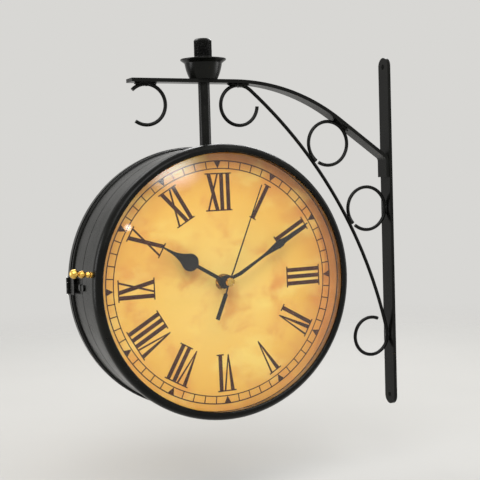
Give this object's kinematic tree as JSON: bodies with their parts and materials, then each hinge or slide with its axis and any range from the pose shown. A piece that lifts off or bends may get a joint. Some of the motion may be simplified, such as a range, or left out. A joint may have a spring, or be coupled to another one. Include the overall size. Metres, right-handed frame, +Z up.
{
  "type": "double sided station clock",
  "caption": "Round double sided clock that hangs by a stem from a scrolled wall bracket, with hinged glass doors and coupled hands.",
  "frame": {"origin": "on the wall face of the wall bar, midway between its two screw holes", "axes": "+X into the wall, +Z up, -Y out of the front dial"},
  "size_m": [0.3005, 0.0976, 0.3175],
  "materials": {
    "black_gloss_iron": "gloss black enamel over iron, slightly uneven",
    "hand_black": "satin black",
    "brass": "turned and polished",
    "clock_glass": "clear domed glass",
    "dial_paper": "aged printed paper under varnish",
    "bare_sheet": "plain sheet steel",
    "bright_steel": "zinc plated",
    "movement_plastic": "moulded",
    "cell_sleeve": "plain sleeve",
    "motor_copper": "copper winding, steel core and board stood in by one metal"
  },
  "bodies": {
    "bracket": {"wall_bar": "black_gloss_iron", "top_arm": "black_gloss_iron", "arm_end_scroll": "black_gloss_iron", "brace_scroll": "black_gloss_iron", "upper_ring": "black_gloss_iron", "lower_ring": "black_gloss_iron", "stem_cup": "black_gloss_iron"},
    "drum": {"stem_tube": "black_gloss_iron", "stem_rod": "bright_steel", "stem_washer": "bright_steel", "stem_nut": "bright_steel", "seam_hoop": "bare_sheet", "band_screws": "black_gloss_iron", "dial_clips": "bare_sheet", "case_hinge_leaves": "black_gloss_iron", "hinge_pins": "bright_steel", "batteries": "cell_sleeve", "battery_contacts": "bright_steel", "step_motors": "motor_copper", "dial_nuts": "brass", "dial_washers": "brass", "front_band": "black_gloss_iron", "front_dial_plate": "bare_sheet", "front_dial_paper": "dial_paper", "front_movement_case": "movement_plastic", "front_movement_cover": "movement_plastic", "rear_band": "black_gloss_iron", "rear_dial_plate": "bare_sheet", "rear_dial_paper": "dial_paper", "rear_movement_case": "movement_plastic", "rear_movement_cover": "movement_plastic"},
    "clamp_nut": {"clamp_nut": "black_gloss_iron"},
    "front_door": {"front_bezel": "black_gloss_iron", "front_glass": "clock_glass", "front_glass_retainer": "bare_sheet", "front_door_leaf": "black_gloss_iron", "front_door_knob": "brass"},
    "front_minute": {"front_centre_wheel": "movement_plastic", "front_minute_hand": "hand_black"},
    "front_hour": {"front_hour_wheel": "movement_plastic", "front_hour_hand": "hand_black"},
    "front_second": {"front_seconds_wheel": "movement_plastic", "front_second_hand": "hand_black"},
    "front_third": {"front_third_wheel": "movement_plastic"},
    "front_motion": {"front_motion_wheel": "movement_plastic"},
    "front_setting": {"front_set_knob": "movement_plastic"},
    "rear_door": {"rear_bezel": "black_gloss_iron", "rear_glass": "clock_glass", "rear_glass_retainer": "bare_sheet", "rear_door_leaf": "black_gloss_iron", "rear_door_knob": "brass"},
    "rear_minute": {"rear_centre_wheel": "movement_plastic", "rear_minute_hand": "hand_black"},
    "rear_hour": {"rear_hour_wheel": "movement_plastic", "rear_hour_hand": "hand_black"},
    "rear_second": {"rear_seconds_wheel": "movement_plastic", "rear_second_hand": "hand_black"},
    "rear_third": {"rear_third_wheel": "movement_plastic"},
    "rear_motion": {"rear_motion_wheel": "movement_plastic"},
    "rear_setting": {"rear_set_knob": "movement_plastic"}
  },
  "joints": [
    {"name": "drum_swivel", "type": "hinge", "parent": "bracket", "child": "drum", "pos_m": [-0.174, 0, -0.032], "axis": [0, 0, 1], "continuous": true},
    {"name": "clamp_nut_turn", "type": "hinge", "parent": "drum", "child": "clamp_nut", "pos_m": [-0.174, 0, 0.148], "axis": [0, 0, 1], "range_deg": [0, 180]},
    {"name": "front_door_swing", "type": "hinge", "parent": "drum", "child": "front_door", "pos_m": [-0.0624, -0.0281, -0.032], "axis": [0, 0, 1], "range_deg": [0, 110]},
    {"name": "front_minute_turn", "type": "hinge", "parent": "drum", "child": "front_minute", "pos_m": [-0.174, 0, -0.032], "axis": [0, 1, 0], "continuous": true},
    {"name": "front_hour_turn", "type": "hinge", "parent": "drum", "child": "front_hour", "pos_m": [-0.174, 0, -0.032], "axis": [0, 1, 0], "continuous": true},
    {"name": "front_second_turn", "type": "hinge", "parent": "drum", "child": "front_second", "pos_m": [-0.174, 0, -0.032], "axis": [0, 1, 0], "continuous": true},
    {"name": "front_third_turn", "type": "hinge", "parent": "drum", "child": "front_third", "pos_m": [-0.16534, 0, -0.02335], "axis": [0, 1, 0], "continuous": true},
    {"name": "front_motion_turn", "type": "hinge", "parent": "drum", "child": "front_motion", "pos_m": [-0.18231, 0, -0.0272], "axis": [0, 1, 0], "continuous": true},
    {"name": "front_setting_turn", "type": "hinge", "parent": "drum", "child": "front_setting", "pos_m": [-0.18711, 0, -0.01889], "axis": [0, 1, 0], "continuous": true},
    {"name": "rear_door_swing", "type": "hinge", "parent": "drum", "child": "rear_door", "pos_m": [-0.2856, 0.0281, -0.032], "axis": [0, 0, 1], "range_deg": [0, 110]},
    {"name": "rear_minute_turn", "type": "hinge", "parent": "drum", "child": "rear_minute", "pos_m": [-0.174, 0, -0.032], "axis": [0, -1, 0], "continuous": true},
    {"name": "rear_hour_turn", "type": "hinge", "parent": "drum", "child": "rear_hour", "pos_m": [-0.174, 0, -0.032], "axis": [0, -1, 0], "continuous": true},
    {"name": "rear_second_turn", "type": "hinge", "parent": "drum", "child": "rear_second", "pos_m": [-0.174, 0, -0.032], "axis": [0, -1, 0], "continuous": true},
    {"name": "rear_third_turn", "type": "hinge", "parent": "drum", "child": "rear_third", "pos_m": [-0.18266, 0, -0.02335], "axis": [0, -1, 0], "continuous": true},
    {"name": "rear_motion_turn", "type": "hinge", "parent": "drum", "child": "rear_motion", "pos_m": [-0.16569, 0, -0.0272], "axis": [0, -1, 0], "continuous": true},
    {"name": "rear_setting_turn", "type": "hinge", "parent": "drum", "child": "rear_setting", "pos_m": [-0.16089, 0, -0.01889], "axis": [0, -1, 0], "continuous": true}
  ],
  "couplings": [
    {"joint": "front_hour_turn", "follows": "front_minute_turn", "ratio": 0.083333},
    {"joint": "front_second_turn", "follows": "front_minute_turn", "ratio": 60},
    {"joint": "front_third_turn", "follows": "front_minute_turn", "ratio": -8},
    {"joint": "front_motion_turn", "follows": "front_minute_turn", "ratio": -0.33333},
    {"joint": "front_setting_turn", "follows": "front_minute_turn", "ratio": 1},
    {"joint": "rear_hour_turn", "follows": "rear_minute_turn", "ratio": 0.083333},
    {"joint": "rear_second_turn", "follows": "rear_minute_turn", "ratio": 60},
    {"joint": "rear_third_turn", "follows": "rear_minute_turn", "ratio": -8},
    {"joint": "rear_motion_turn", "follows": "rear_minute_turn", "ratio": -0.33333},
    {"joint": "rear_setting_turn", "follows": "rear_minute_turn", "ratio": 1}
  ]
}
